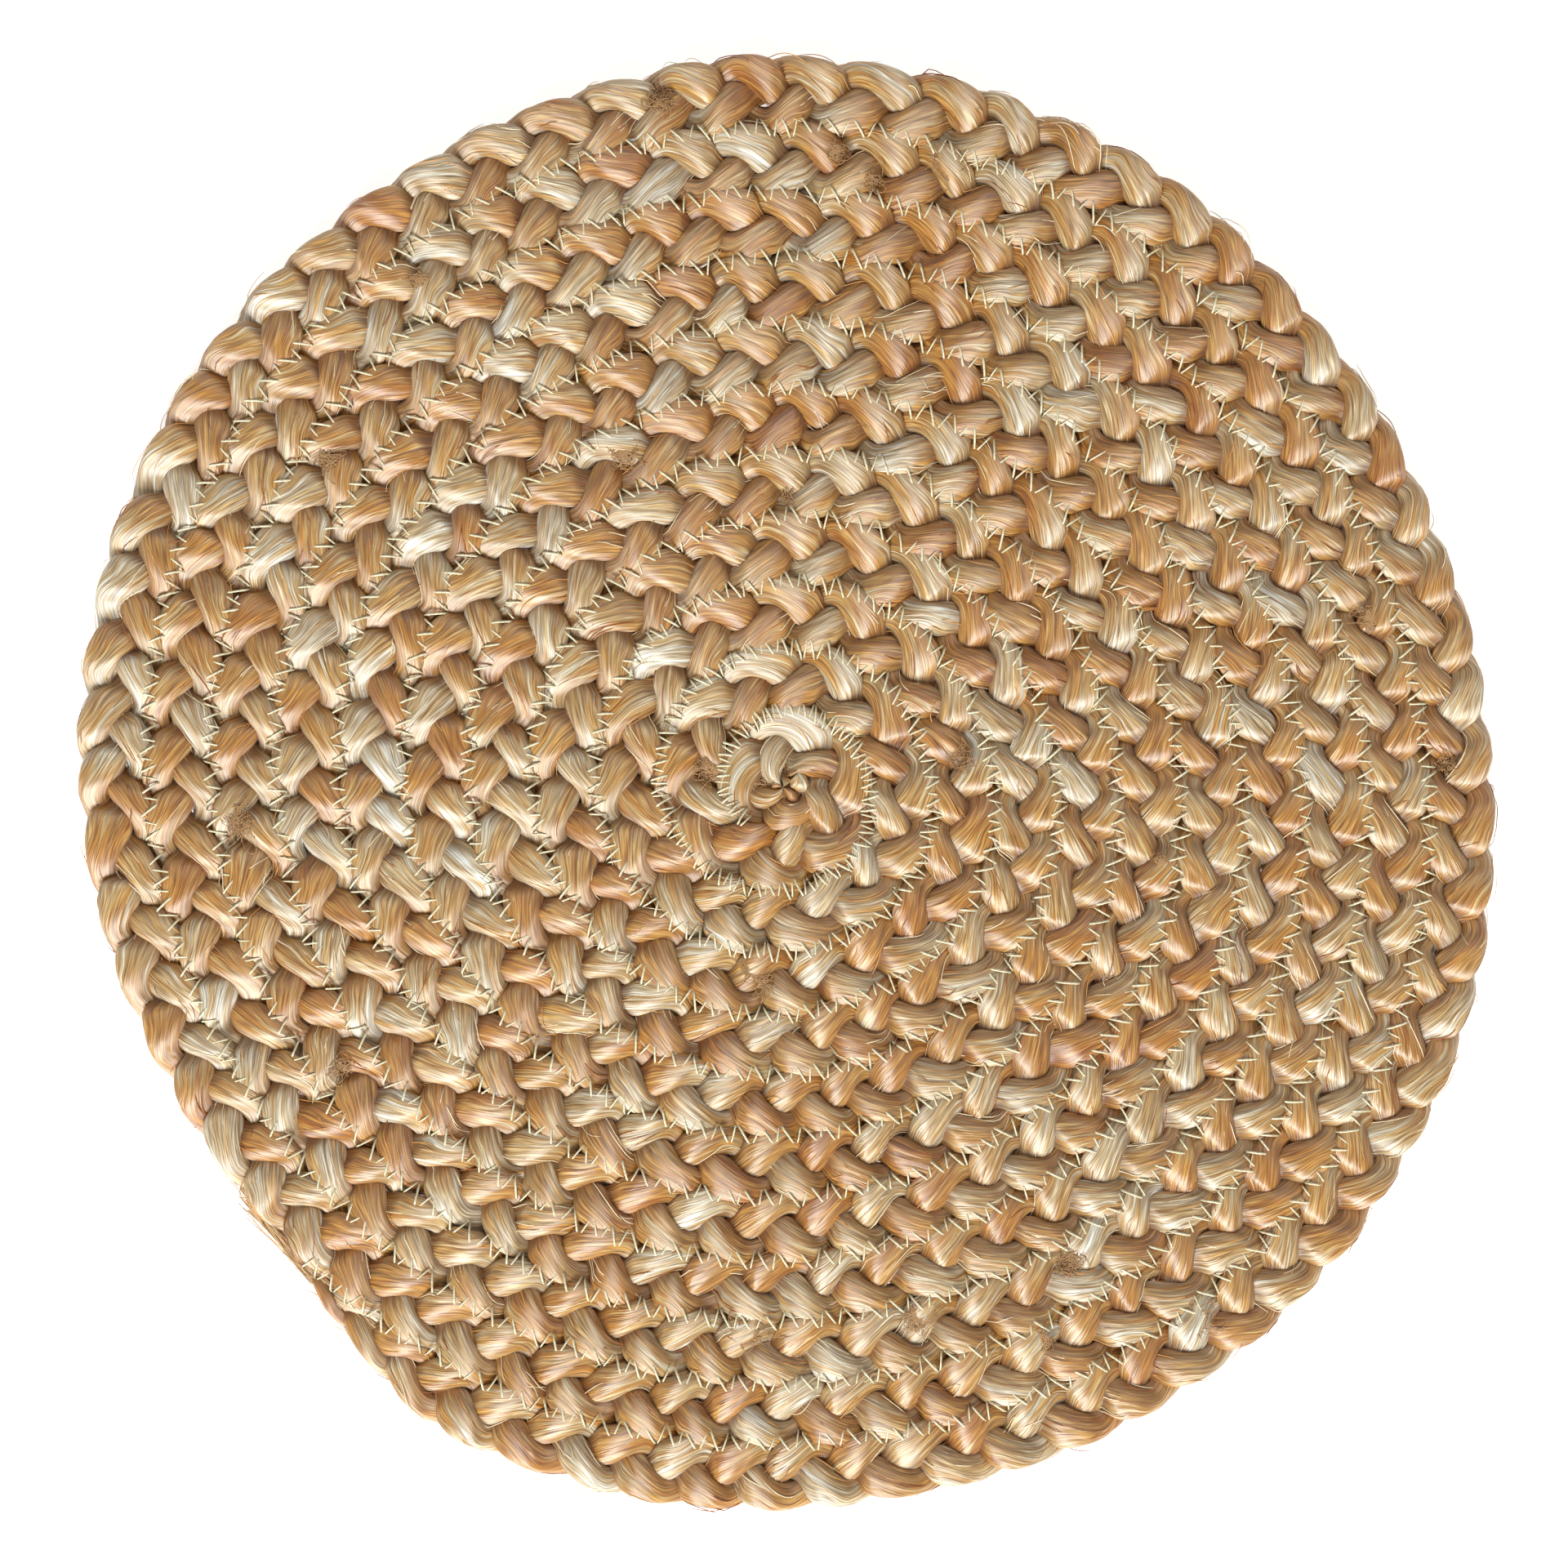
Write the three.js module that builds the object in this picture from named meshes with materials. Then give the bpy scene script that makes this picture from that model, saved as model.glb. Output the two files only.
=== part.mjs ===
// A round area rug: one flat braid of three jute strands, wound in a flat spiral and sewn to itself.
// The needle thread runs along the top of the seam between the rounds, the bobbin thread below it.
// Millimetres, +Z up. The rug lies on z = 0, with the middle of its outline over the origin.
import * as THREE from 'three';

// Driving dimensions of the rug
const BRAID_PITCH = 26.4;      // from the middle of one round to the middle of the next
const ROUNDS = 11.3;           // radius of the braid's centreline at its outer end, in pitches
const THICKNESS = 11;          // height of the braid
const SEAM_WIDTH = 3.4;        // room that the seam threads have between two rounds
const START_RADIUS = -0.2 * BRAID_PITCH;    // where the centreline begins, just across the middle
const CENTRE_HOLE = 1.5;       // radius left free in the very middle
const TAIL_ANGLE = THREE.MathUtils.degToRad(225);   // where the braid's outer end lies
const TAIL_LENGTH = 85;        // over which the outer end tapers
const TAIL_WIDTH = 0.4;        // width and height of the tip, as shares of the whole braid's
const TAIL_HEIGHT = 0.6;
const TAIL_THINNING = 0.3;     // share that each strand loses on its own at the tip

// The hand-wound outline is out of round. Each row is a number of bulges round the rug, how far they
// stand out as a share of the radius, and the direction of one of them in degrees.
const BULGES = [[1, 0.026, 120], [2, 0.012, 128], [3, 0.006, 81], [4, 0.005, 66]];

// The plait: each strand goes through six stages in one cycle, over three braid widths
const STAGES = 6;
const STAGE_LENGTH = 3 * BRAID_PITCH / STAGES;
const STRANDS = 3;
const STRAND_GAP = 0.4;
const SOLID_GAP = 0.3;
const LARGEST_TURN = 0.22;     // radians between two sections; the tight inner rounds take more sections

// The seam threads, as narrow three-sided strips
const THREAD_HALF_WIDTH = 1;
const THREAD_DEPTH = 1.2;
const THREAD_SAG = 0.45;       // how far a straight stretch of strip may cut the corner of its curve

const JUTE = { roughness: 0.85, metalness: 0 };
const STRAND_COLOURS = { strand_a: 0xc08a4e, strand_b: 0xcb9a60, strand_c: 0xb47c44 };
const THREAD_COLOUR = 0xe8dfc4;

// The spiral. Its length times its width is the area it covers, which gives the radius at each length.
// In the curl at the very middle the length grows evenly with the radius instead.
const CURL_RADIUS = BRAID_PITCH / 2;
const CURL_LENGTH = Math.PI * CURL_RADIUS ** 2 / BRAID_PITCH;
const CURL_SLOPE = 2 * Math.PI * CURL_RADIUS / BRAID_PITCH;
const radiusAtLength = (length) => (length > CURL_LENGTH
  ? Math.sqrt(length * BRAID_PITCH / Math.PI)
  : CURL_RADIUS + (length - CURL_LENGTH) / CURL_SLOPE);
const lengthAtRadius = (radius) => (radius > CURL_RADIUS
  ? Math.PI * radius ** 2 / BRAID_PITCH
  : CURL_LENGTH + (radius - CURL_RADIUS) * CURL_SLOPE);
const OUTER_RADIUS = ROUNDS * BRAID_PITCH;
const INNER_LENGTH = lengthAtRadius(START_RADIUS);
const OUTER_LENGTH = lengthAtRadius(OUTER_RADIUS);

// From the centre outwards the braid winds clockwise, seen from above
const angleAtRadius = (radius) => TAIL_ANGLE + (OUTER_RADIUS - radius) / BRAID_PITCH * 2 * Math.PI;

const outOfRound = (angle) => BULGES.reduce((sum, [count, share, direction]) => (
  sum + share * Math.cos(count * (angle - THREE.MathUtils.degToRad(direction)))
), 1);

// A point of the rug: spiral radius, distance outwards from there, and height
function place(radius, across, height) {
  const angle = angleAtRadius(radius);
  const reach = (radius + across) * outOfRound(angle);
  return new THREE.Vector3(reach * Math.cos(angle), reach * Math.sin(angle), height);
}

// A strand's section at one stage, as three corners [across, height]. A strand lies on top, rounds
// the edge and dives below on one side of the braid, then does the same on the other side.
function stageSection(stage, halfWidth) {
  const middle = THICKNESS / 2;
  const inner = STRAND_GAP;
  const centre = (halfWidth + inner) / 2;
  const sections = [
    [[centre, middle + STRAND_GAP / 2], [halfWidth, THICKNESS], [inner, THICKNESS]],
    [[halfWidth, 0], [halfWidth, THICKNESS], [centre, middle]],
    [[halfWidth, 0], [centre, middle - STRAND_GAP / 2], [inner, 0]],
  ];
  const sides = sections.length;
  const [first, second, third] = sections[stage % sides];
  const mirror = ([across, height]) => [-across, height];
  return stage < sides ? [first, second, third] : [first, third, second].map(mirror);
}

// At the outer end each strand thins, and the braid narrows towards its inner edge and flattens
function taper(section, halfWidth, length) {
  const ending = Math.max(0, 1 - (OUTER_LENGTH - length) / TAIL_LENGTH);
  const width = 1 - (1 - TAIL_WIDTH) * ending;
  const rise = 1 - (1 - TAIL_HEIGHT) * ending;
  const thinning = TAIL_THINNING * ending;
  const mean = [0, 1].map((axis) => section.reduce((sum, corner) => sum + corner[axis], 0) / section.length);
  return section.map((corner) => {
    const [across, height] = corner.map((value, axis) => value + (mean[axis] - value) * thinning);
    return [(across + halfWidth) * width - halfWidth, height * rise];
  });
}

// Around the middle of the rug the braid is squeezed outwards, clear of the point it curls round
function squeeze(section, halfWidth, radius) {
  const inside = Math.min(0, radius - halfWidth - CENTRE_HOLE);
  return section.map(([across, height]) => [
    across - inside * (halfWidth - across) / (2 * halfWidth),
    height,
  ]);
}

// Joins sections of equal corner count into one closed solid. Each four-sided patch between two
// sections is split along the diagonal that bulges outwards.
function loft(sections) {
  const points = sections.flat();
  const corners = sections[0].length;
  const faces = [];
  const bulges = (a, b, c, other) => {
    const normal = points[b].clone().sub(points[a]).cross(points[c].clone().sub(points[a]));
    return points[other].clone().sub(points[a]).dot(normal) <= 0;
  };
  for (let section = 1; section < sections.length; section += 1) {
    for (let corner = 0; corner < corners; corner += 1) {
      const next = (corner + 1) % corners;
      const a = (section - 1) * corners + corner;
      const b = (section - 1) * corners + next;
      const c = section * corners + next;
      const d = section * corners + corner;
      faces.push(...(bulges(a, b, c, d) ? [a, b, c, a, c, d] : [a, b, d, b, c, d]));
    }
  }
  const last = (sections.length - 1) * corners;
  for (let corner = 2; corner < corners; corner += 1) {
    faces.push(0, corner, corner - 1);
    faces.push(last, last + corner - 1, last + corner);
  }
  const geometry = new THREE.BufferGeometry().setFromPoints(points);
  geometry.setIndex(faces);
  geometry.computeVertexNormals();
  return geometry;
}

// One strand, from the centre of the rug to the outer end
function strandGeometry(shift) {
  const stageCount = Math.floor((OUTER_LENGTH - INNER_LENGTH) / STAGE_LENGTH);
  const sections = [];
  for (let step = 0; step <= stageCount; step += 1) {
    const start = OUTER_LENGTH - (stageCount - step) * STAGE_LENGTH;
    const turn = (radiusAtLength(start + STAGE_LENGTH) - radiusAtLength(start)) / BRAID_PITCH * 2 * Math.PI;
    const pieces = Math.ceil(turn / LARGEST_TURN);
    const stageAt = (count) => ((shift - count) % STAGES + STAGES) % STAGES;
    for (let piece = 0; piece < (step < stageCount ? pieces : 1); piece += 1) {
      const share = piece / pieces;
      const length = start + share * STAGE_LENGTH;
      const radius = radiusAtLength(length);
      const reach = radius + BRAID_PITCH / 2;
      const cornerCut = reach * (1 - Math.cos(turn / pieces / 2));
      const halfWidth = (BRAID_PITCH - SEAM_WIDTH) / 2 - cornerCut / 2;
      const from = stageSection(stageAt(step), halfWidth);
      const to = stageSection(stageAt(step + 1), halfWidth);
      const section = from.map((corner, index) => (
        corner.map((value, axis) => value + share * (to[index][axis] - value))
      ));
      const shaped = squeeze(taper(section, halfWidth, length), halfWidth, radius);
      sections.push(shaped.map((corner) => place(radius, ...corner)));
    }
  }
  return loft(sections);
}

// A thread strip along the whole seam, its flat side at the stated height and its ridge above or below
function seamThreadGeometry(flatHeight, ridgeHeight) {
  const sections = [];
  const outer = OUTER_RADIUS - BRAID_PITCH;
  let radius = BRAID_PITCH / 2;
  while (radius < outer) {
    sections.push(radius);
    radius += Math.sqrt(8 * THREAD_SAG / (radius + BRAID_PITCH / 2)) / (2 * Math.PI) * BRAID_PITCH;
  }
  sections.push(outer);
  const across = BRAID_PITCH / 2 + THREAD_SAG / 2;
  const outline = [[-THREAD_HALF_WIDTH, flatHeight], [0, ridgeHeight], [THREAD_HALF_WIDTH, flatHeight]];
  const ordered = ridgeHeight < flatHeight ? outline : outline.reverse();
  return loft(sections.map((at) => ordered.map(([side, height]) => place(at, across + side, height))));
}

function addMesh(group, name, geometry, colour) {
  const material = new THREE.MeshStandardMaterial({ color: colour, ...JUTE });
  const mesh = new THREE.Mesh(geometry, material);
  mesh.name = name;
  group.add(mesh);
}

const rug = new THREE.Group();
Object.entries(STRAND_COLOURS).forEach(([name, colour], index) => {
  addMesh(rug, name, strandGeometry(index * STAGES / STRANDS), colour);
});
addMesh(rug, 'needle_thread', seamThreadGeometry(THICKNESS, THICKNESS - THREAD_DEPTH), THREAD_COLOUR);
addMesh(rug, 'bobbin_thread', seamThreadGeometry(SOLID_GAP, SOLID_GAP + THREAD_DEPTH), THREAD_COLOUR);

const outline = new THREE.Box3().setFromObject(rug);
const middle = outline.getCenter(new THREE.Vector3());
rug.position.set(-middle.x, -middle.y, 0);

export default rug;
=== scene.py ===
"""A round braided jute rug, dressed around its CAD frame.

Three combed jute strands are plaited into one flat braid, which winds in a spiral and is sewn to
itself with a zigzag seam. Every size below is in millimetres unless it says otherwise.
"""
import math

import bpy
import numpy as np
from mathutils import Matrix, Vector


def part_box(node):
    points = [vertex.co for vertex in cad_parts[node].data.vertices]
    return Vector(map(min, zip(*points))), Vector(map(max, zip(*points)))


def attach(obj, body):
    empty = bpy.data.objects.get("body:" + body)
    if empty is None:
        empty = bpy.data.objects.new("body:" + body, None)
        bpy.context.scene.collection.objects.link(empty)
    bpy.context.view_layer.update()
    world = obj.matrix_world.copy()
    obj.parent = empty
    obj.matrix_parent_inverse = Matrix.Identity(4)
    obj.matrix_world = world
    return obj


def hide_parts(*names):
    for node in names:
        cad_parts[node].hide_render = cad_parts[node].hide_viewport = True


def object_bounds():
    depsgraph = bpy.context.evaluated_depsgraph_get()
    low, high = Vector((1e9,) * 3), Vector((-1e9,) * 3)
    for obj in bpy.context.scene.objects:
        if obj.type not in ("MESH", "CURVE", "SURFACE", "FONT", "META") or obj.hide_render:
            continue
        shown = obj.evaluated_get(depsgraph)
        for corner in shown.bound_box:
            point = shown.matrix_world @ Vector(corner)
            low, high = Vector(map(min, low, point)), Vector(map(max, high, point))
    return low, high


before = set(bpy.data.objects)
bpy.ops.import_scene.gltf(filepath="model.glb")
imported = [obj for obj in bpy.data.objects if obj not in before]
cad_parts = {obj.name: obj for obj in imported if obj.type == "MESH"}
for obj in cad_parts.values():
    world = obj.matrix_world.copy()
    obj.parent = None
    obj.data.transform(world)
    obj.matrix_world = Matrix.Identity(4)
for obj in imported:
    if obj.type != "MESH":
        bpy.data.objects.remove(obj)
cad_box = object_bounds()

MM = 0.001

# ---------------------------------------------------------------- the rug's plan, as in its CAD frame
ROUNDS = 11.3                      # radius of the braid's centreline at its outer end, in braid widths
START = -0.2                       # where the centreline begins, in braid widths, just across the middle
TAIL_ANGLE = math.radians(225)     # direction of the outer end
TAIL_LENGTH = 85                   # over which the outer end tapers
STAGES = 6                         # stages of the plait in one cycle
THREAD_STRIP = 2                   # width of the strip that stands for a seam thread
OUTLINE_POINTS = 721               # along the round whose box gives the braid's width
# How the outline is out of round: number of bulges, their share of the radius, direction in degrees
BULGES = ((1, 0.026, 120), (2, 0.012, 128), (3, 0.006, 81), (4, 0.005, 66))
STRANDS = ("strand_a", "strand_b", "strand_c")


def out_of_round(angle):
    bulges = (share * np.cos(count * (angle - math.radians(towards))) for count, share, towards in BULGES)
    return 1 + sum(bulges)


def fit_to_frame():
    """The braid's width and the spiral's middle, from the CAD box of the seam thread's outermost round."""
    radius = np.linspace(ROUNDS - 2, ROUNDS - 1, OUTLINE_POINTS)
    angle = TAIL_ANGLE + (ROUNDS - radius) * 2 * math.pi
    reach = (radius + 0.5) * out_of_round(angle)
    across = reach * np.cos(angle)
    along = reach * np.sin(angle)
    low, high = (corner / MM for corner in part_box("needle_thread"))
    width = (high.x - low.x - THREAD_STRIP) / (across.max() - across.min())
    middle = (
        (low.x + high.x - width * (across.min() + across.max())) / 2,
        (low.y + high.y - width * (along.min() + along.max())) / 2,
    )
    return width, middle


PITCH, MIDDLE = fit_to_frame()     # the pitch is the braid's width, and the distance from round to round
THICKNESS = (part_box("strand_a")[1].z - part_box("strand_a")[0].z) / MM
CYCLE = 3 * PITCH                  # one full plait cycle of a strand
START_RADIUS = START * PITCH
OUTER_RADIUS = ROUNDS * PITCH

# ---------------------------------------------------------------- the strands in the braid
HALF_HEIGHT = THICKNESS / 2
HALF_WIDTH = 0.606 * PITCH         # over half a pitch, because the rounds are pressed together
CROWN = 0.29 * THICKNESS           # the lobes may bulge this far over the CAD solids
SWING = 0.38 * PITCH               # how far a strand's middle swings out to each side
SWING_TURN = 0.975                 # nearer to 1, it goes straighter across and turns tighter at the edge
RISE = 0.38 * THICKNESS            # how far its middle goes up and down
RISE_LAG = 0.3                     # radians by which it is late in rising
FLAT_LENS = (0.425 * PITCH, 0.51 * THICKNESS)    # half width and half height of a strand lying on top,
EDGE_LENS = (0.325 * PITCH, 0.565 * THICKNESS)   # and where it rounds the braid's edge
LENS_TILT = math.radians(22)
LENS_SHIFT = 0.133 * PITCH         # how far a strand on top leans over towards the edge it came round,
SHIFT_LAG = 0.6                    # and by how many radians it does so late
LEAN = 0.53                        # how flat the strands lie over one another
ROUNDNESS = 3.8                    # higher gives sharper folds between the strands
PRESS = 1.4                        # the strands are squeezed into one another by a little
SPREAD_BELOW = 0.4                 # a strand's lower half is wider by this share,
REACH_BELOW = 0.06 * PITCH         # and reaches further under its neighbours
BELOW_STEEPNESS = 3                # how soon a strand's side turns into its lower half
CENTRE_OVERLAP = 0.19 * PITCH      # how far the braid's start reaches past the point it curls round
TAIL_WIDTH = 0.25                  # width and height of the braid's tip, as shares of the braid's own
TAIL_HEIGHT = 0.6
RIDGES = (0.34, 22, 22, 180)       # combed relief: height, length of a ridge, how many around, seed
GROOVES = (0.42, 30, 13, 80)       # the same for the grooves, which are cut in
GROOVE_NARROWNESS = 8              # higher cuts finer grooves
FLOOR_ROOM = 0.1                   # between the plait and the floor

# Where a hand-fed plait is uneven: by how much, over what length along the braid, and the random seed
UNEVEN = {
    "turn": (0.3, 33, 40),
    "swing": (0.09, 21, 45),
    "across": (0.9, 24, 50),
    "height": (0.5, 19, 60),
    "lens width": (0.17, 26, 30),
    "lens height": (0.12, 22, 35),
    "tilt": (0.3, 29, 37),
    "crown": (0.4, 23, 70),
    "twist": (0.35, 55, 85),
    "sway": (1.0, 61, 90),
    "tone": (0.5, 27, 10),
}

RING_STEP = 1.3                    # from one section of a strand's mesh to the next
RING_POINTS = 56
RING_ANGLES = np.arange(RING_POINTS) / RING_POINTS * 2 * math.pi
LENGTH_SHIFT = 200                 # added to lengths, which are below zero at the very middle
GRAIN_RADIUS = 5                   # of the roll of texture that a strand is cut from
GRAIN_APART = 1000                 # along that roll, from one strand's start to the next one's
TINY = 1e-9                        # keeps the length of a direction over zero

# ---------------------------------------------------------------- the seam
THREAD_RADIUS = 0.042 * THICKNESS
THREAD_SIDES = 6
LEG_STEPS = 7                      # sections in one zigzag leg
LEG_SPACING = 0.174 * PITCH
LEG_REACH = 0.182 * PITCH          # how far a leg reaches to each side of the seam
LEG_SKEW = 0.2 * LEG_SPACING       # makes every other leg stand more upright
LEG_SLACK = 0.65 * THREAD_RADIUS   # every other leg is drawn this much deeper into the jute
LEG_SINK = 0.31 * THICKNESS        # how deep the needle holes draw the ends in
LEG_BITE = 0.1                     # how far the middle of a leg presses into the jute
SINK_SHARPNESS = 5                 # higher keeps more of a leg straight before it dips to its hole
HOLE_ROOM = 0.4                    # keeps the two legs at a needle hole out of each other
HOLE_SPACING = (0.75, 1.25)        # least and most room between two holes, as shares of the usual,
HOLE_SIDE = (0.75, 1.1)            # and the same for how far they lie from the seam's middle
HOLE_SEED = 7
SEAM_WANDER = (0.8, 45, 8)         # how far the seam wanders, over what length, and the random seed
DENSE_SHARE = 0.55                 # the stitches are closer together at the start of the seam,
DENSE_LENGTH = 26.5 * PITCH        # and get their usual spacing over about this length
CELL = 1.5                         # of the height maps that the legs are laid on
GRID = 2 * math.ceil(1.2 * OUTER_RADIUS / CELL)

# ---------------------------------------------------------------- loose fibres
FIBRE_SIDES = 4
FIBRE_LOW = 0.25                   # the lowest that a fibre's middle may lie
STRAYS = 2900                      # on each strand
STRAY_POINTS = 9                   # along each fibre
STRAY_RUN = (6, 24)                # shortest and longest
STRAY_RADIUS = (0.13, 0.24)        # finest and coarsest
STRAY_THINNING = 0.6               # share of its radius that a fibre loses at its ends
STRAY_HEIGHT = 2.2                 # how far the highest stand over the CAD solids
STRAY_REST = 0.08                  # from the jute's surface to the middle of a fibre that lies on it
STRAY_TURN = 0.5                   # radians by which a fibre usually runs askew
STRAY_LIFT = 0.55                  # how far its middle usually arches up,
STRAY_PEAK = (0.6, 1.8)            # under 1 the arch is highest near its start, over 1 near its end
STRAY_END_LIFT = 0.5               # how far its loose end usually stands up,
STRAY_END_BEND = 1.1               # and bends away
STRAY_FROM_START = 10              # no fibre begins nearer than this to the braid's two ends
STRAY_FROM_END = 30
STRAY_SEED = 300
SLUBS = 22
SLUB_FIBRES = (14, 46)
SLUB_SPREAD = (1.4, 3.4)
SLUB_SIDEWAYS = 9                  # how far a slub may lie from the braid's middle
SLUB_AREA = (0.01, 0.97)           # where slubs lie, as shares of the rug's area from its middle
SLUB_SINK = 0.3                    # how far a slub's lowest fibres lie in the jute
SLUB_FLATNESS = 0.5                # share of a slub's own height that is kept,
SLUB_HEIGHT = 1.15                 # up to this
SLUB_FIBRE_RADIUS = 0.16
SLUB_SEED = 77
CURL_POINTS = 14                   # along each curly fibre
CURL_WAVES = (0.5, 1, 1.7)         # slow waves in its length, and how large they and its place are,
CURL_SIZE = 0.6                    # as shares of the slub's spread
CURL_PLACE = 0.45
CORE_FIBRES = 260                  # felted together in the point that the braid curls round
CORE_SPREAD = 4.2
CORE_HEIGHT = 5.0
CORE_DEPTH = 2                     # how far the felted core stays under the walking face
FRAYED_FIBRES = 520
FRAYED_POINTS = 12
FRAYED_RADIUS = 0.2
FRAYED_BACK = 60                   # how far back from the braid's end the fibres may begin
FRAYED_RUN = (20, 54)
FRAYED_EDGE = 2                    # their usual distance from the braid's inner side,
FRAYED_ACROSS = (-1.5, 8)          # and how much nearer or further they may begin
FRAYED_GATHER = 0.5                # share by which they draw together sideways,
FRAYED_DROP = 0.45                 # and sink, towards their tips
FRAYED_HEIGHT = (1, 8.2)
FRAYED_STRAY = (2.2, 1.2)          # how far their tips usually stray across and in height
FRAYED_SEED = 88

# ---------------------------------------------------------------- colours, from 0 to 255
SLOTS = ("jute_golden", "jute_pale", "jute_tan")
WARMTHS = (0.0, 0.03, -0.05)       # moves a strand's colour up or down the jute colours
JUTE_COLOURS = (
    (0.0, (152, 88, 26)),
    (0.25, (168, 110, 40)),
    (0.45, (175, 126, 60)),
    (0.62, (180, 148, 100)),
    (0.78, (188, 170, 142)),
    (1.0, (202, 198, 188)),
)
# painted shade: the dark brown that the jute's colour is pulled towards between the strands, where they
# press together
CREVICE_SHADE_COLOUR = (132, 76, 44)
CREVICE_SHADE_SHARPNESS = 1.4            # higher keeps the painted shade deeper between the strands
STRAY_COLOURS = ((206, 150, 84), (236, 220, 188), (156, 92, 44))
FELTED_COLOUR = (170, 130, 88)
FRAYED_COLOUR = (214, 180, 138)
THREAD_COLOURS = ((0.3, (190, 180, 140)), (0.7, (234, 228, 204)))
STREAK_TINTS = (                   # what dark and pale fibres multiply the jute's colour by
    (0.32, (0.48, 0.38, 0.26, 1)),
    (0.45, (0.86, 0.82, 0.76, 1)),
    (0.55, (1.1, 1.13, 1.16, 1)),
    (0.68, (1.6, 1.9, 2.4, 1)),
)
PARTING_TINTS = ((0.0, (0.42, 0.33, 0.26, 1)), (0.028, (1, 1, 1, 1)))    # the same for fine partings
PARTING_SHARE = 0.6                # how strongly the partings show

# ---------------------------------------------------------------- the studio, in metres
LENS_LENGTH = 85
SENSOR_WIDTH = 36
VIEW_WIDTH = 1.1 * max(cad_box[1][axis] - cad_box[0][axis] for axis in (0, 1))
CAMERA_OVER = (-0.0015, -0.0003)
KEY_LIGHT = ((-0.6, -3.0, 2.35), 1.8, 230, (0.96, 1.0, 0.98))
FILL_LIGHT = ((0.6, 1.2, 1.9), 1.6, 14, (1.0, 0.95, 0.86))
WALLS = {"From Min": 0.2, "From Max": 0.4, "To Min": 1.0, "To Max": 0.2}    # light at the horizon and above
FLOOR_SIZE = 8
FLOOR_DROP = 0.0005
FLOOR_GLOW = 0.6


# ---------------------------------------------------------------- the spiral
# Its length times its width is the area it covers, which gives the radius at each length. In the curl
# at the very middle the length grows evenly with the radius instead.
CURL_RADIUS = PITCH / 2
CURL_LENGTH = math.pi * CURL_RADIUS ** 2 / PITCH
CURL_SLOPE = 2 * math.pi * CURL_RADIUS / PITCH


def radius_at_length(length):
    wound = np.sqrt(np.maximum(length, CURL_LENGTH) * PITCH / math.pi)
    curled = CURL_RADIUS + (length - CURL_LENGTH) / CURL_SLOPE
    return np.where(length > CURL_LENGTH, wound, curled)


def length_at_radius(radius):
    wound = math.pi * radius ** 2 / PITCH
    curled = CURL_LENGTH + (radius - CURL_RADIUS) * CURL_SLOPE
    return np.where(radius > CURL_RADIUS, wound, curled)


START_LENGTH = length_at_radius(START_RADIUS)
END_LENGTH = length_at_radius(OUTER_RADIUS)


def place(radius, across, height):
    """Points in the frame, from the spiral's radius, the distance outwards from it and the height."""
    angle = TAIL_ANGLE + (OUTER_RADIUS - radius) / PITCH * 2 * math.pi
    reach = (radius + across) * out_of_round(angle)
    x = MIDDLE[0] + reach * np.cos(angle)
    y = MIDDLE[1] + reach * np.sin(angle)
    return np.stack(np.broadcast_arrays(x, y, height), axis=-1)


# ---------------------------------------------------------------- smooth random numbers
def smooth(share):
    return share * share * (3 - 2 * share)


def wander(length, spacing, seed):
    """A smooth random curve between -1 and 1, with a new value every spacing."""
    knots = (np.asarray(length) + LENGTH_SHIFT) / spacing
    table = np.random.default_rng(seed).uniform(-1, 1, int(knots.max()) + 3)
    low = np.floor(knots).astype(int)
    share = smooth(knots - low)
    return table[low] * (1 - share) + table[low + 1] * share


def uneven(what, length, number=0):
    size, spacing, seed = UNEVEN[what]
    return size * wander(length, spacing, seed + number)


def streaks(length, around, spacing, count, seed):
    """A smooth random field from 0 to 1 of long streaks: count around a strand, each about spacing long."""
    rows = (length + LENGTH_SHIFT) / spacing
    table = np.random.default_rng(seed).uniform(0, 1, (int(rows.max()) + 3, count))
    row = np.floor(rows).astype(int)[:, None]
    row_share = smooth(rows[:, None] - row)
    columns = around / (2 * math.pi) * count
    column = np.floor(columns).astype(int)
    share = smooth(columns - column)
    here = column % count
    after = (column + 1) % count
    first = table[row, here] * (1 - share) + table[row, after] * share
    second = table[row + 1, here] * (1 - share) + table[row + 1, after] * share
    return first * (1 - row_share) + second * row_share


# ---------------------------------------------------------------- meshes
def make_mesh(name, points, quads, stands_for, material, attributes=None):
    """A smooth quad mesh from points in millimetres, riding on the rug."""
    mesh = bpy.data.meshes.new(name)
    mesh.vertices.add(len(points))
    mesh.vertices.foreach_set("co", (points * MM).astype(np.float32).ravel())
    mesh.loops.add(quads.size)
    mesh.loops.foreach_set("vertex_index", quads.astype(np.int32).ravel())
    mesh.polygons.add(len(quads))
    mesh.polygons.foreach_set("loop_start", np.arange(0, quads.size, 4, dtype=np.int32))
    mesh.polygons.foreach_set("use_smooth", np.ones(len(quads), dtype=bool))
    for key, values in (attributes or {}).items():
        kind, field = ("FLOAT_VECTOR", "vector") if values.ndim == 2 else ("FLOAT", "value")
        layer = mesh.attributes.new(key, kind, "POINT")
        layer.data.foreach_set(field, values.astype(np.float32).ravel())
    mesh.update(calc_edges=True)
    mesh.materials.append(material)
    piece = bpy.data.objects.new(name, mesh)
    bpy.context.scene.collection.objects.link(piece)
    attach(piece, "root")
    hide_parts(stands_for)


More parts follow.
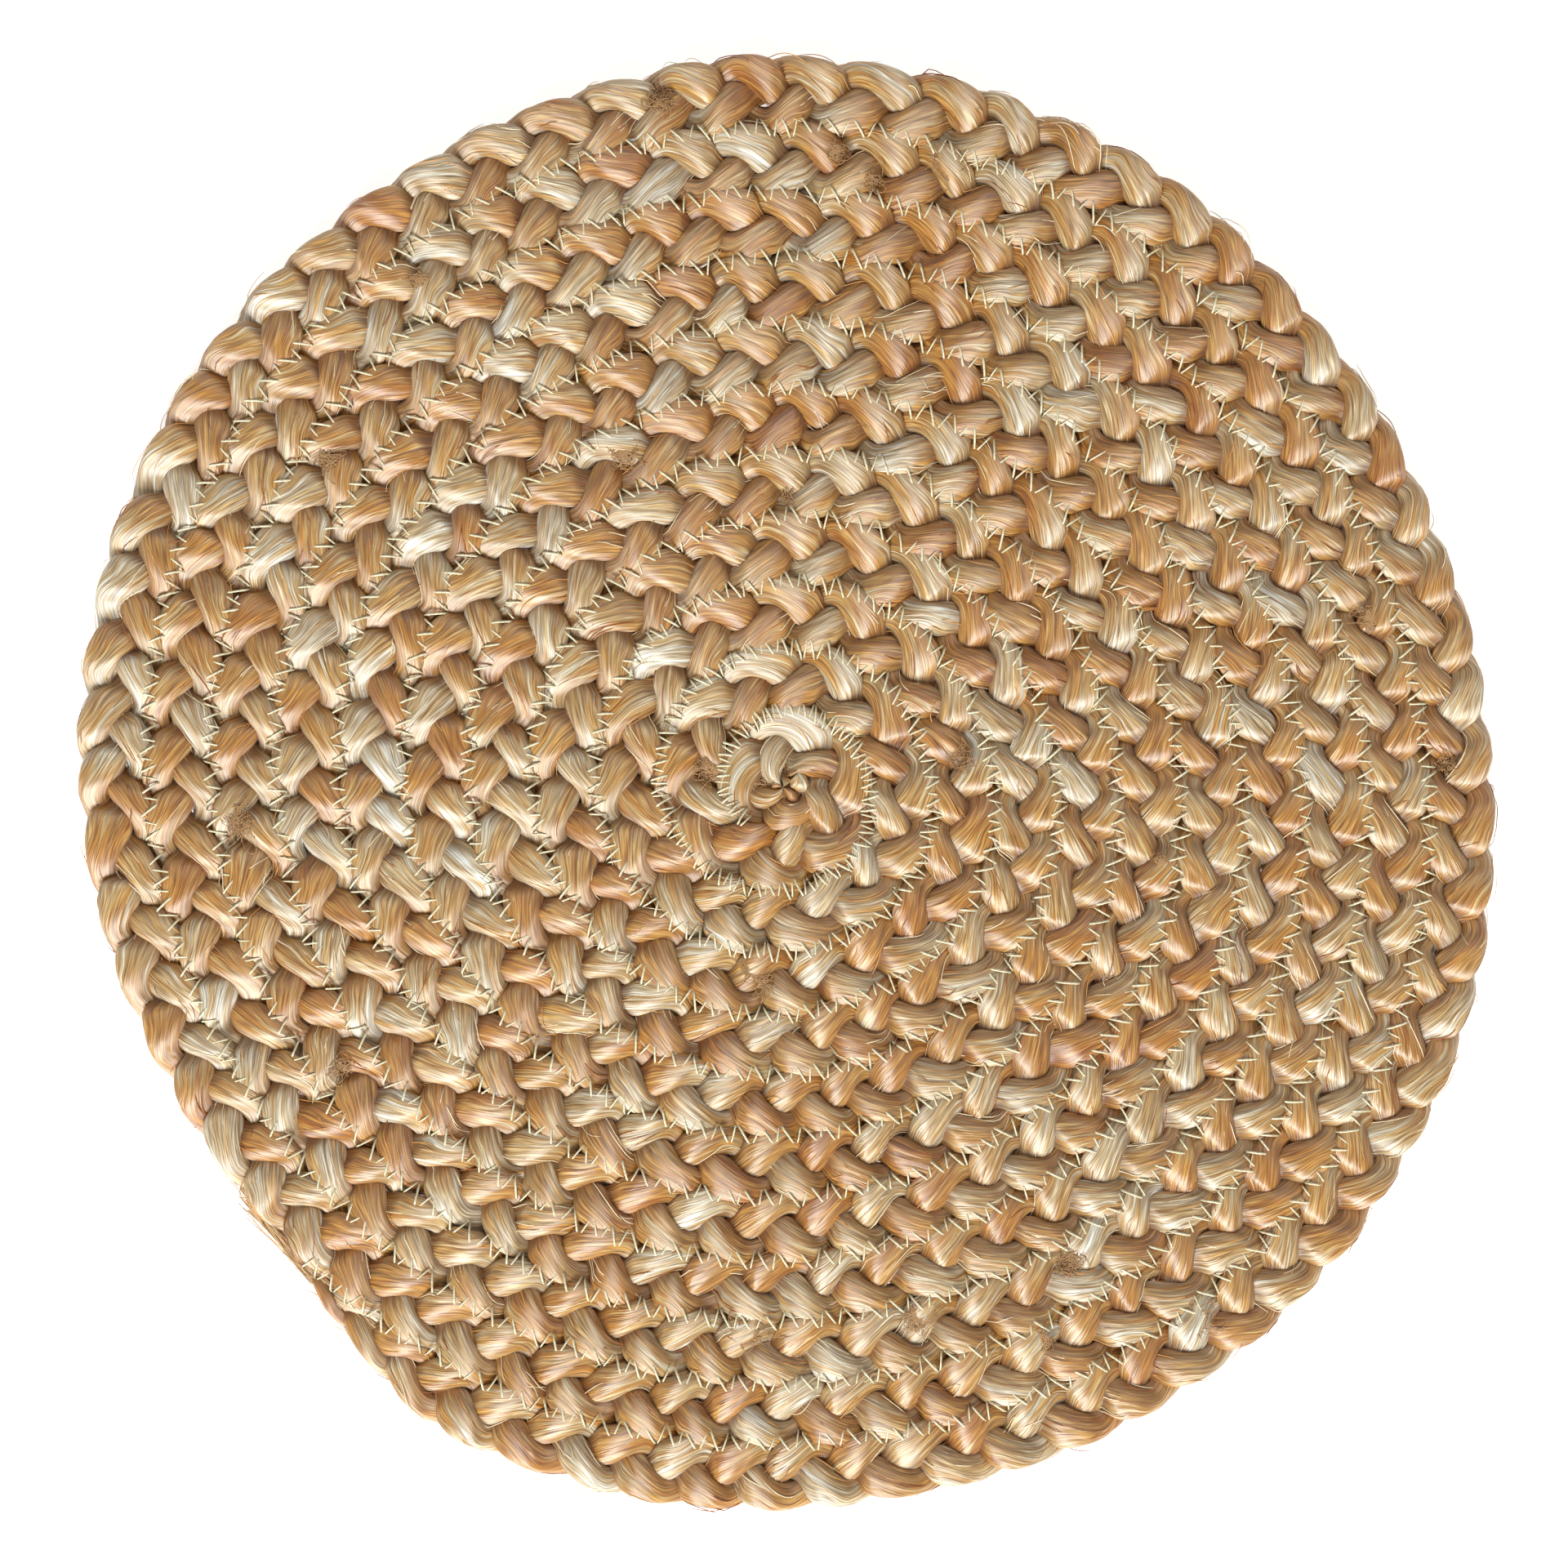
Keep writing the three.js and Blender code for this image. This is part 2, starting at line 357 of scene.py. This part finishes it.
def tube_quads(rings, sides, close_start=True, close_end=True):
    """The faces of a tube of rings, with quads over the ends to be closed. The sides must be even."""
    ring = np.arange(rings - 1)[:, None] * sides
    side = np.arange(sides)[None, :]
    after = (side + 1) % sides
    walls = np.stack([ring + side, ring + after, ring + sides + after, ring + sides + side], axis=-1)
    row = np.arange(sides // 2 - 1)
    start = np.stack([row, sides - 1 - row, sides - 2 - row, row + 1], axis=-1)
    end = start[:, ::-1] + (rings - 1) * sides
    return np.concatenate([walls.reshape(-1, 4)] + [start] * close_start + [end] * close_end)


def many_tubes(paths, radius, sides):
    """Points and faces of many thin tubes, each along its own row of path points."""
    count, steps, _ = paths.shape
    ahead = np.gradient(paths, axis=1)
    ahead /= np.linalg.norm(ahead, axis=2, keepdims=True) + TINY
    helper = np.where(np.abs(ahead[..., 2:3]) > 0.9, [1.0, 0.0, 0.0], [0.0, 0.0, 1.0])
    right = np.cross(ahead, helper)
    right /= np.linalg.norm(right, axis=2, keepdims=True)
    up = np.cross(right, ahead)
    turn = np.arange(sides) / sides * 2 * math.pi
    rim = right[:, :, None] * np.cos(turn)[:, None] + up[:, :, None] * np.sin(turn)[:, None]
    points = paths[:, :, None] + rim * radius[:, :, None, None]
    faces = tube_quads(steps, sides)
    offsets = np.arange(count)[:, None, None] * steps * sides
    return points.reshape(-1, 3), (faces[None] + offsets).reshape(-1, 4)


# ---------------------------------------------------------------- the strands
def plait_angle(length, number):
    """How far a strand has come in its cycle: 0 crossing the middle, a quarter turn at the outer edge."""
    stage_count = math.floor((END_LENGTH - START_LENGTH) / (CYCLE / STAGES))
    first = math.radians(30) + math.radians(60) * (number * STAGES / len(STRANDS) - stage_count)
    return first + (END_LENGTH - length) / CYCLE * 2 * math.pi


def strand_middle(length, number):
    """Across and height of one strand's middle in the braid's section."""
    turn = plait_angle(length, number) + uneven("turn", length, number)
    crossing = np.arcsin(SWING_TURN * np.sin(turn)) / math.asin(SWING_TURN)
    across = SWING * (1 + uneven("swing", length, number)) * crossing + uneven("across", length, number)
    height = RISE * np.sin(2 * turn + RISE_LAG) + uneven("height", length, number)
    return across[:, None], height[:, None]


def lens_reach(length, number):
    """How far a strand's own flattened, tilted section reaches, and in which directions."""
    turn = plait_angle(length, number)
    at_edge = np.sin(turn) ** 2
    half_width = FLAT_LENS[0] + (EDGE_LENS[0] - FLAT_LENS[0]) * at_edge
    half_height = FLAT_LENS[1] + (EDGE_LENS[1] - FLAT_LENS[1]) * at_edge
    half_width = half_width * (1 + uneven("lens width", length, number))
    half_height = half_height * (1 + uneven("lens height", length, number))
    tilt = (LENS_TILT * np.cos(turn) * (1 + uneven("tilt", length, number)))[:, None]
    wide = half_width[:, None] * np.cos(RING_ANGLES)
    high = half_height[:, None] * np.sin(RING_ANGLES)
    across = wide * np.cos(tilt) - high * np.sin(tilt) + LENS_SHIFT * np.cos(turn - SHIFT_LAG)[:, None]
    height = wide * np.sin(tilt) + high * np.cos(tilt)
    reach = np.hypot(across, height)
    return reach, across / reach, height / reach


def braid_limits(middle, steps, below, crown):
    """One over the distance from a strand's middle to the braid's sides, top and bottom, all round it."""
    across, height = middle
    step_across, step_height = steps
    half_width = HALF_WIDTH + REACH_BELOW * below
    return (
        np.maximum(step_across, 0) / (half_width - across),
        np.maximum(-step_across, 0) / (half_width + across),
        np.maximum(step_height, 0) / (HALF_HEIGHT + crown - height),
        np.maximum(-step_height, 0) / (HALF_HEIGHT - FLOOR_ROOM + height),
    )


def neighbour_limit(middle, other_middle, steps):
    """The same for the surface halfway between a strand and another one."""
    to_across = other_middle[0] - middle[0]
    to_height = (other_middle[1] - middle[1]) / LEAN ** 2
    distance = to_across ** 2 + to_height * (other_middle[1] - middle[1])
    towards = np.maximum(steps[0] * to_across + steps[1] * to_height, 0)
    return towards * 2 / distance / PRESS


def combed_relief(length, number):
    """The ridges and grooves that combing leaves along a strand."""
    around = (RING_ANGLES[None, :] + uneven("twist", length, number)[:, None]) % (2 * math.pi)
    height, spacing, count, seed = RIDGES
    ridge = streaks(length, around, spacing, count, seed + number) - 0.5
    depth, spacing, count, seed = GROOVES
    parting = np.abs(streaks(length, around, spacing, count, seed + number) - 0.5)
    groove = np.clip(1 - parting * GROOVE_NARROWNESS, 0, 1)
    return height * ridge - depth * groove


def strand_rings(length, number):
    """A strand's sections at the stated lengths: across, height, and closeness to its neighbours.

    A strand keeps its own flattened section where it has room, and fills no more than the part of the
    braid's section that is nearer to its own middle than to the others', so the strands fit round each
    other."""
    middle = strand_middle(length, number)
    own_reach, step_across, step_height = lens_reach(length, number)
    steps = (step_across, step_height)
    below = np.clip(-BELOW_STEEPNESS * step_height, 0, 1)
    crown = (CROWN + uneven("crown", length, number))[:, None]
    limits = (1 / (own_reach * (1 + SPREAD_BELOW * below)), *braid_limits(middle, steps, below, crown))
    others = (strand_middle(length, other) for other in range(len(STRANDS)) if other != number)
    free = sum(limit ** ROUNDNESS for limit in limits)
    pressed = sum(neighbour_limit(middle, other, steps) ** ROUNDNESS for other in others)
    closeness = pressed / (free + pressed)
    reach = (free + pressed) ** (-1 / ROUNDNESS) + combed_relief(length, number) * (1 - closeness)
    return middle[0] + reach * step_across, middle[1] + reach * step_height, closeness


def shaped(length, across, height):
    """The braid narrows and flattens at its outer end, and is squeezed outwards at its start."""
    ending = np.clip(1 - (END_LENGTH - length) / TAIL_LENGTH, 0, 1)[:, None]
    across = (across + HALF_WIDTH) * (1 - (1 - TAIL_WIDTH) * ending) - HALF_WIDTH
    height = height * (1 - (1 - TAIL_HEIGHT) * ending)
    inside = np.minimum(0, radius_at_length(length) - HALF_WIDTH + CENTRE_OVERLAP)[:, None]
    across = across - inside * (HALF_WIDTH - across) / (2 * HALF_WIDTH)
    return across, height


def strand_points(length, number):
    """Points of a strand's rings in the frame, and their closeness to the other strands."""
    across, height, closeness = strand_rings(length, number)
    across, height = shaped(length, across, height + HALF_HEIGHT)
    across = across + uneven("sway", length)[:, None]
    points = place(radius_at_length(length)[:, None], across, np.maximum(height, FLOOR_ROOM / 2))
    return points, closeness


def make_strand(number, material):
    """One strand, in one piece for each round of the spiral. Only the strand's own two ends are closed."""
    name = STRANDS[number]
    part_round = ROUNDS % 1
    bounds = [START_RADIUS] + [PITCH * (turn + part_round) for turn in range(1, int(ROUNDS) + 1)]
    for turn, (inner, outer) in enumerate(zip(bounds[:-1], bounds[1:]), start=1):
        first, last = length_at_radius(inner), length_at_radius(outer)
        length = np.linspace(first, last, math.ceil((last - first) / RING_STEP))
        points, closeness = strand_points(length, number)
        across_fibres = np.roll(points, -1, axis=1) - np.roll(points, 1, axis=1)
        across_fibres /= np.linalg.norm(across_fibres, axis=2, keepdims=True) + TINY
        grain = np.stack(np.broadcast_arrays(
            GRAIN_RADIUS * np.cos(RING_ANGLES)[None, :],
            GRAIN_RADIUS * np.sin(RING_ANGLES)[None, :],
            (length + GRAIN_APART * number)[:, None],
        ), axis=-1)
        make_mesh(
            f"{name}_round_{turn:02d}", points.reshape(-1, 3),
            tube_quads(len(length), RING_POINTS, inner == bounds[0], outer == bounds[-1])[:, ::-1],
            name, material,
            {
                "grain": grain.reshape(-1, 3),
                "across_fibres": across_fibres.reshape(-1, 3),
                "closeness": closeness.ravel(),
                "tone": np.repeat(0.5 + uneven("tone", length, number), RING_POINTS),
            },
        )


# ---------------------------------------------------------------- the seam threads
def height_maps():
    """The highest and lowest jute over each small cell of the floor, from the strands' points."""
    top = np.full((GRID, GRID), -1.0)
    bottom = np.full((GRID, GRID), 2.0 * THICKNESS)
    for number in range(len(STRANDS)):
        length = np.arange(START_LENGTH, END_LENGTH, RING_STEP)
        points = strand_points(length, number)[0].reshape(-1, 3)
        cell = (points[:, :2] / CELL + GRID / 2).astype(int)
        np.maximum.at(top, (cell[:, 0], cell[:, 1]), points[:, 2])
        np.minimum.at(bottom, (cell[:, 0], cell[:, 1]), points[:, 2])
    top[top < 0] = HALF_HEIGHT
    bottom[bottom > THICKNESS] = HALF_HEIGHT
    neighbours = [(over, along) for over in (-1, 0, 1) for along in (-1, 0, 1)]
    top = np.max([np.roll(top, shift, (0, 1)) for shift in neighbours], axis=0)
    bottom = np.min([np.roll(bottom, shift, (0, 1)) for shift in neighbours], axis=0)
    return top, bottom


def sample(heights, points):
    cell = (points[..., :2] / CELL + GRID / 2).astype(int)
    return heights[cell[..., 0], cell[..., 1]]


def needle_holes():
    """The needle holes in order along the seam: the length at which each lies, and how far across it."""
    first = length_at_radius(START_RADIUS + PITCH)
    last = length_at_radius(OUTER_RADIUS - PITCH / 2)
    random = np.random.default_rng(HOLE_SEED)
    holes = [first]
    while holes[-1] < last:
        spacing = LEG_SPACING * (1 - DENSE_SHARE * math.exp(-holes[-1] / DENSE_LENGTH))
        holes.append(holes[-1] + spacing * random.uniform(*HOLE_SPACING))
    side = np.where(np.arange(len(holes)) % 2, 1, -1)
    length = np.array(holes) - side * LEG_SKEW
    across = side * LEG_REACH * random.uniform(*HOLE_SIDE, len(holes))
    wander_size, wander_spacing, seed = SEAM_WANDER
    return length, across + wander_size * wander(length, wander_spacing, seed)


def make_thread(name, material, heights, on_top, stands_for):
    """One zigzag thread: straight legs along the jute, each end drawn into it at a needle hole.

    The lower thread stays over the floor, as the plait does, so much of it lies inside the jute."""
    hole, side = needle_holes()
    share = np.linspace(0, 1, LEG_STEPS)[None, :]
    start = hole[:-1, None] + HOLE_ROOM
    end = hole[1:, None] - HOLE_ROOM
    length = start + (end - start) * share
    across = side[:-1, None] + (side[1:, None] - side[:-1, None]) * share
    paths = place(radius_at_length(length) - PITCH / 2, PITCH / 2 + across, 0 * length)
    jute = sample(heights, paths)
    straight = jute[:, :1] * (1 - share) + jute[:, -1:] * share
    slack = np.where(np.arange(len(hole) - 1) % 2, 0.0, LEG_SLACK)[:, None]
    drawn_in = LEG_SINK * np.abs(2 * share - 1) ** SINK_SHARPNESS + slack
    if on_top:
        paths[..., 2] = np.maximum(jute, straight) - LEG_BITE - drawn_in
    else:
        lowest = THREAD_RADIUS + FLOOR_ROOM / 2
        paths[..., 2] = np.maximum(np.minimum(jute, straight) - LEG_BITE, lowest) + drawn_in
    radius = np.full(length.shape, THREAD_RADIUS) * (1 - slack / 2)
    points, quads = many_tubes(paths, radius, THREAD_SIDES)
    make_mesh(name, points, quads, stands_for, material)


# ---------------------------------------------------------------- loose fibres
def on_strand(number, length, around):
    """Points on a strand's surface and the outward directions there, for rows of lengths and ring angles."""
    points = strand_points(length.ravel(), number)[0]
    column = (around.ravel() / (2 * math.pi) * RING_POINTS) % RING_POINTS
    low = np.floor(column).astype(int)
    share = (column - low)[:, None]
    row = np.arange(length.size)
    surface = points[row, low % RING_POINTS] * (1 - share) + points[row, (low + 1) % RING_POINTS] * share
    outward = surface - points.mean(axis=1)
    outward /= np.linalg.norm(outward, axis=1, keepdims=True)
    return surface.reshape(*length.shape, 3), outward.reshape(*length.shape, 3)


def keep_inside(paths):
    """Nothing goes through the floor, or higher than a stray fibre stands."""
    paths[..., 2] = np.clip(paths[..., 2], FIBRE_LOW, THICKNESS + STRAY_HEIGHT)
    return paths


def make_stray_fibres(number, material):
    """Fine fibres that have come loose from a strand and lie over it, a little askew and lifted."""
    random = np.random.default_rng(STRAY_SEED + number)
    each = (STRAYS, 1)
    share = np.linspace(0, 1, STRAY_POINTS)[None, :]
    start = random.uniform(START_LENGTH + STRAY_FROM_START, END_LENGTH - STRAY_FROM_END, each)
    run = random.uniform(*STRAY_RUN, each) * random.choice([-1, 1], each)
    length = np.clip(start + run * share, START_LENGTH + 1, END_LENGTH - 1)
    around = random.uniform(0, 2 * math.pi, each) + random.normal(0, STRAY_TURN, each) * share
    surface, outward = on_strand(number, length, around)
    arch = random.exponential(STRAY_LIFT, each)
    lift = arch * np.sin(math.pi * share ** random.uniform(*STRAY_PEAK, each))
    lift = lift + random.exponential(STRAY_END_LIFT, each) * share ** 3
    bend = random.normal(0, STRAY_END_BEND, (STRAYS, 3))[:, None, :] * (share ** 2)[..., None]
    paths = keep_inside(surface + outward * (STRAY_REST + lift)[..., None] + bend)
    radius = random.uniform(*STRAY_RADIUS, each) * (1 - STRAY_THINNING * np.abs(2 * share - 1) ** 3)
    points, quads = many_tubes(paths, radius, FIBRE_SIDES)
    make_mesh(f"{STRANDS[number]}_stray_fibres", points, quads, STRANDS[number], material)


def curly_fibres(random, middle, count, spread):
    """Short fibres curled round one spot: the sums of a few slow waves."""
    share = np.linspace(0, 1, CURL_POINTS)[None, :, None]
    paths = middle + random.normal(0, CURL_PLACE * spread, (count, 1, 3))
    for waves in CURL_WAVES:
        phase = random.uniform(0, 2 * math.pi, (count, 1, 3))
        size = random.normal(0, CURL_SIZE * spread / waves, (count, 1, 3))
        paths = paths + size * np.sin(2 * math.pi * waves * share + phase)
    return paths


def make_slubs(material, heights):
    """Small felted knots of loose fibre on the braid, and a large one in the point that it curls round."""
    random = np.random.default_rng(SLUB_SEED)
    groups = []
    for _ in range(SLUBS):
        radius = OUTER_RADIUS * math.sqrt(random.uniform(*SLUB_AREA))
        sideways = random.uniform(-SLUB_SIDEWAYS, SLUB_SIDEWAYS, 1)
        middle = place(np.array([radius]), sideways, np.zeros(1))[0]
        fibres = curly_fibres(random, middle, random.integers(*SLUB_FIBRES), random.uniform(*SLUB_SPREAD))
        own_height = np.clip(SLUB_FLATNESS * np.abs(fibres[..., 2]), 0, SLUB_HEIGHT)
        fibres[..., 2] = sample(heights, fibres) - SLUB_SINK + own_height
        groups.append(fibres)
    core_middle = place(np.zeros(1), np.zeros(1), np.full(1, CORE_HEIGHT))[0]
    core = curly_fibres(random, core_middle, CORE_FIBRES, CORE_SPREAD)
    core[..., 2] = np.minimum(core[..., 2], THICKNESS - CORE_DEPTH)
    paths = keep_inside(np.concatenate([*groups, core]))
    points, quads = many_tubes(paths, np.full(paths.shape[:2], SLUB_FIBRE_RADIUS), FIBRE_SIDES)
    make_mesh("strand_b_slubs", points, quads, STRANDS[1], material)


def make_frayed_end(material):
    """The loose fibres at the braid's outer end, drawn out along the rug's edge."""
    random = np.random.default_rng(FRAYED_SEED)
    each = (FRAYED_FIBRES, 1)
    share = np.linspace(0, 1, FRAYED_POINTS)[None, :]
    stray_across, stray_height = FRAYED_STRAY
    start = END_LENGTH - random.uniform(0, FRAYED_BACK, each)
    length = start + random.uniform(*FRAYED_RUN, each) * share
    across = -HALF_WIDTH + FRAYED_EDGE + random.uniform(*FRAYED_ACROSS, each) * (1 - FRAYED_GATHER * share)
    across = across + random.normal(0, stray_across, each) * share ** 2
    height = random.uniform(*FRAYED_HEIGHT, each) * (1 - FRAYED_DROP * share)
    height = height + random.normal(0, stray_height, each) * share ** 2
    paths = keep_inside(place(radius_at_length(length), across, height))
    points, quads = many_tubes(paths, np.full(paths.shape[:2], FRAYED_RADIUS), FIBRE_SIDES)
    make_mesh("strand_c_frayed_end", points, quads, STRANDS[2], material)


# ---------------------------------------------------------------- materials
class Nodes:
    """Short calls for building one material's nodes."""

    def __init__(self, name):
        self.material = bpy.data.materials.new(name)
        self.material.use_nodes = True
        self.tree = self.material.node_tree
        self.shader = self.tree.nodes["Principled BSDF"]

    def add(self, kind, values=(), **settings):
        node = self.tree.nodes.new(kind)
        for key, value in settings.items():
            setattr(node, key, value)
        for key, value in dict(values).items():
            self.set(node.inputs[key], value)
        return node

    def set(self, socket, value):
        if isinstance(value, bpy.types.NodeSocket):
            self.tree.links.new(value, socket)
        else:
            socket.default_value = value

    def surface(self, settings):
        for key, value in settings.items():
            self.set(self.shader.inputs[key], value)

    def math(self, operation, first, second=0.0, clamp=False):
        values = {0: first, 1: second}
        return self.add("ShaderNodeMath", values, operation=operation, use_clamp=clamp).outputs[0]

    def multiply(self, share, first, second):
        node = self.add("ShaderNodeMix", data_type="RGBA", blend_type="MULTIPLY")
        colour_sockets = [socket for socket in node.inputs if socket.type == "RGBA"]
        self.set(node.inputs[0], share)
        self.set(colour_sockets[0], first)
        self.set(colour_sockets[1], second)
        return [socket for socket in node.outputs if socket.type == "RGBA"][0]

    def ramp(self, share, stops):
        node = self.add("ShaderNodeValToRGB", {0: share})
        elements = node.color_ramp.elements
        while len(elements) < len(stops):
            elements.new(0.5)
        for element, (position, colour) in zip(elements, stops):
            element.position = position
            element.color = colour
        return node.outputs[0]

    def noise(self, vector, scale, detail, rough=0.6):
        values = {"Vector": vector, "Scale": scale, "Detail": detail, "Roughness": rough}
        return self.add("ShaderNodeTexNoise", values).outputs[0]

    def stretched(self, vector, along):
        return self.add("ShaderNodeMapping", {"Vector": vector, "Scale": (1, 1, along)}).outputs[0]

    def attribute(self, name, output):
        return self.add("ShaderNodeAttribute", attribute_name=name).outputs[output]

    def bump(self, height, strength, distance):
        values = {"Height": height, "Strength": strength, "Distance": distance}
        return self.add("ShaderNodeBump", values).outputs[0]


def srgb(red, green, blue):
    """A colour from its usual 0 to 255 numbers."""
    def linear(value):
        value /= 255
        return value / 12.92 if value <= 0.04045 else ((value + 0.055) / 1.055) ** 2.4
    return (linear(red), linear(green), linear(blue), 1)


def srgb_stops(stops):
    return [(position, srgb(*colour)) for position, colour in stops]


def jute_tone(nodes, grain, slivers, warmth):
    """Where the jute lies between golden and pale: by lobe, by patch and by sliver."""
    patches = nodes.noise(nodes.stretched(grain, along=0.15), scale=0.22, detail=2)
    tone = nodes.math("MULTIPLY", nodes.attribute("tone", "Fac"), 0.5)
    tone = nodes.math("ADD", tone, nodes.math("MULTIPLY", patches, 0.5))
    tone = nodes.math("ADD", tone, nodes.math("SUBTRACT", slivers, 0.5))
    return nodes.math("ADD", tone, warmth, clamp=True)


def jute(name, warmth):
    """Combed jute: long fine fibres, a silky surface, pale and dark streaks, and painted shade in the
    crevices between the strands.
    """
    nodes = Nodes(name)
    grain = nodes.attribute("grain", "Vector")
    fibres = nodes.noise(nodes.stretched(grain, along=0.04), scale=2.3, detail=1.5, rough=0.7)
    slivers = nodes.noise(nodes.stretched(grain, along=0.02), scale=0.8, detail=2)
    colour = nodes.ramp(jute_tone(nodes, grain, slivers, warmth), srgb_stops(JUTE_COLOURS))
    colour = nodes.multiply(1.0, colour, nodes.ramp(fibres, STREAK_TINTS))
    parting = nodes.math("ABSOLUTE", nodes.math("SUBTRACT", slivers, 0.5))
    colour = nodes.multiply(PARTING_SHARE, colour, nodes.ramp(parting, PARTING_TINTS))
    # painted shade: the colour darkens towards the crevices between the strands, by how closely the
    # neighbours press
    crevice_shade = nodes.math("POWER", nodes.attribute("closeness", "Fac"), CREVICE_SHADE_SHARPNESS, clamp=True)
    colour = nodes.multiply(crevice_shade, colour, srgb(*CREVICE_SHADE_COLOUR))
    height = nodes.math("ADD", slivers, nodes.math("MULTIPLY", fibres, 1.1))
    nodes.surface({
        "Base Color": colour,
        "Roughness": 0.5,
        "IOR": 1.7,
        "Specular IOR Level": 1.0,
        "Anisotropic": 0.85,
        "Tangent": nodes.attribute("across_fibres", "Vector"),
        "Sheen Weight": 0.1,
        "Sheen Roughness": 0.4,
        "Normal": nodes.bump(height, strength=1.0, distance=0.00022),
    })
    return nodes.material


def sewing_thread():
    """Smooth pale sewing thread with a fine twist."""
    nodes = Nodes("sewing_thread")
    twist = nodes.noise(nodes.add("ShaderNodeTexCoord").outputs["Object"], scale=900, detail=2)
    nodes.surface({
        "Base Color": nodes.ramp(twist, srgb_stops(THREAD_COLOURS)),
        "Roughness": 0.45,
        "Normal": nodes.bump(twist, strength=0.4, distance=0.0002),
    })
    return nodes.material


def single_fibre(name, colour):
    nodes = Nodes(name)
    nodes.surface({"Base Color": srgb(*colour), "Roughness": 0.45})
    return nodes.material


# ---------------------------------------------------------------- the studio
def make_floor():
    """A plain pale floor, just under the rug."""
    half = FLOOR_SIZE / 2
    corners = [(x, y, -FLOOR_DROP) for x, y in ((-half, -half), (half, -half), (half, half), (-half, half))]
    mesh = bpy.data.meshes.new("floor")
    mesh.from_pydata(corners, [], [(0, 1, 2, 3)])
    floor = bpy.data.objects.new("floor", mesh)
    bpy.context.scene.collection.objects.link(floor)
    nodes = Nodes("pale_floor")
    nodes.surface({
        "Base Color": (0.9, 0.9, 0.9, 1),
        "Roughness": 0.9,
        "Emission Color": (1, 1, 1, 1),
        "Emission Strength": FLOOR_GLOW,
    })
    mesh.materials.append(nodes.material)


def make_light(name, location, size, power, tint):
    """A soft square light that faces the rug's middle."""
    data = bpy.data.lights.new(name, "AREA")
    data.size = size
    data.energy = power
    data.color = tint
    light = bpy.data.objects.new(name, data)
    light.location = location
    light.rotation_euler = (-Vector(location)).to_track_quat("-Z", "Y").to_euler()
    bpy.context.scene.collection.objects.link(light)


def make_world():
    """A dim white dome over a bright horizon, as a studio's pale walls give."""
    world = bpy.data.worlds.new("studio")
    bpy.context.scene.world = world
    world.use_nodes = True
    tree = world.node_tree
    background = tree.nodes["Background"]
    background.inputs["Color"].default_value = (1, 1, 1, 1)
    direction = tree.nodes.new("ShaderNodeTexCoord").outputs["Generated"]
    split = tree.nodes.new("ShaderNodeSeparateXYZ")
    walls = tree.nodes.new("ShaderNodeMapRange")
    walls.interpolation_type = "SMOOTHSTEP"
    for key, value in WALLS.items():
        walls.inputs[key].default_value = value
    tree.links.new(direction, split.inputs[0])
    tree.links.new(split.outputs["Z"], walls.inputs["Value"])
    tree.links.new(walls.outputs["Result"], background.inputs["Strength"])


def make_camera():
    """Straight above the rug, looking down."""
    data = bpy.data.cameras.new("camera")
    data.lens = LENS_LENGTH
    data.sensor_width = SENSOR_WIDTH
    camera = bpy.data.objects.new("camera", data)
    camera.location = (*CAMERA_OVER, VIEW_WIDTH * LENS_LENGTH / SENSOR_WIDTH)
    bpy.context.scene.collection.objects.link(camera)
    bpy.context.scene.camera = camera


bpy.context.scene.view_settings.view_transform = "Standard"
make_camera()
make_world()
make_light("key", *KEY_LIGHT)
make_light("fill", *FILL_LIGHT)
make_floor()

for number, slot in enumerate(SLOTS):
    make_strand(number, jute(slot, WARMTHS[number]))
    make_stray_fibres(number, single_fibre(f"{slot}_strays", STRAY_COLOURS[number]))
top_heights, bottom_heights = height_maps()
make_slubs(single_fibre("felted_fibre", FELTED_COLOUR), top_heights)
make_frayed_end(single_fibre("frayed_fibre", FRAYED_COLOUR))
thread = sewing_thread()
make_thread("needle_thread_zigzag", thread, top_heights, True, "needle_thread")
make_thread("bobbin_thread_zigzag", thread, bottom_heights, False, "bobbin_thread")
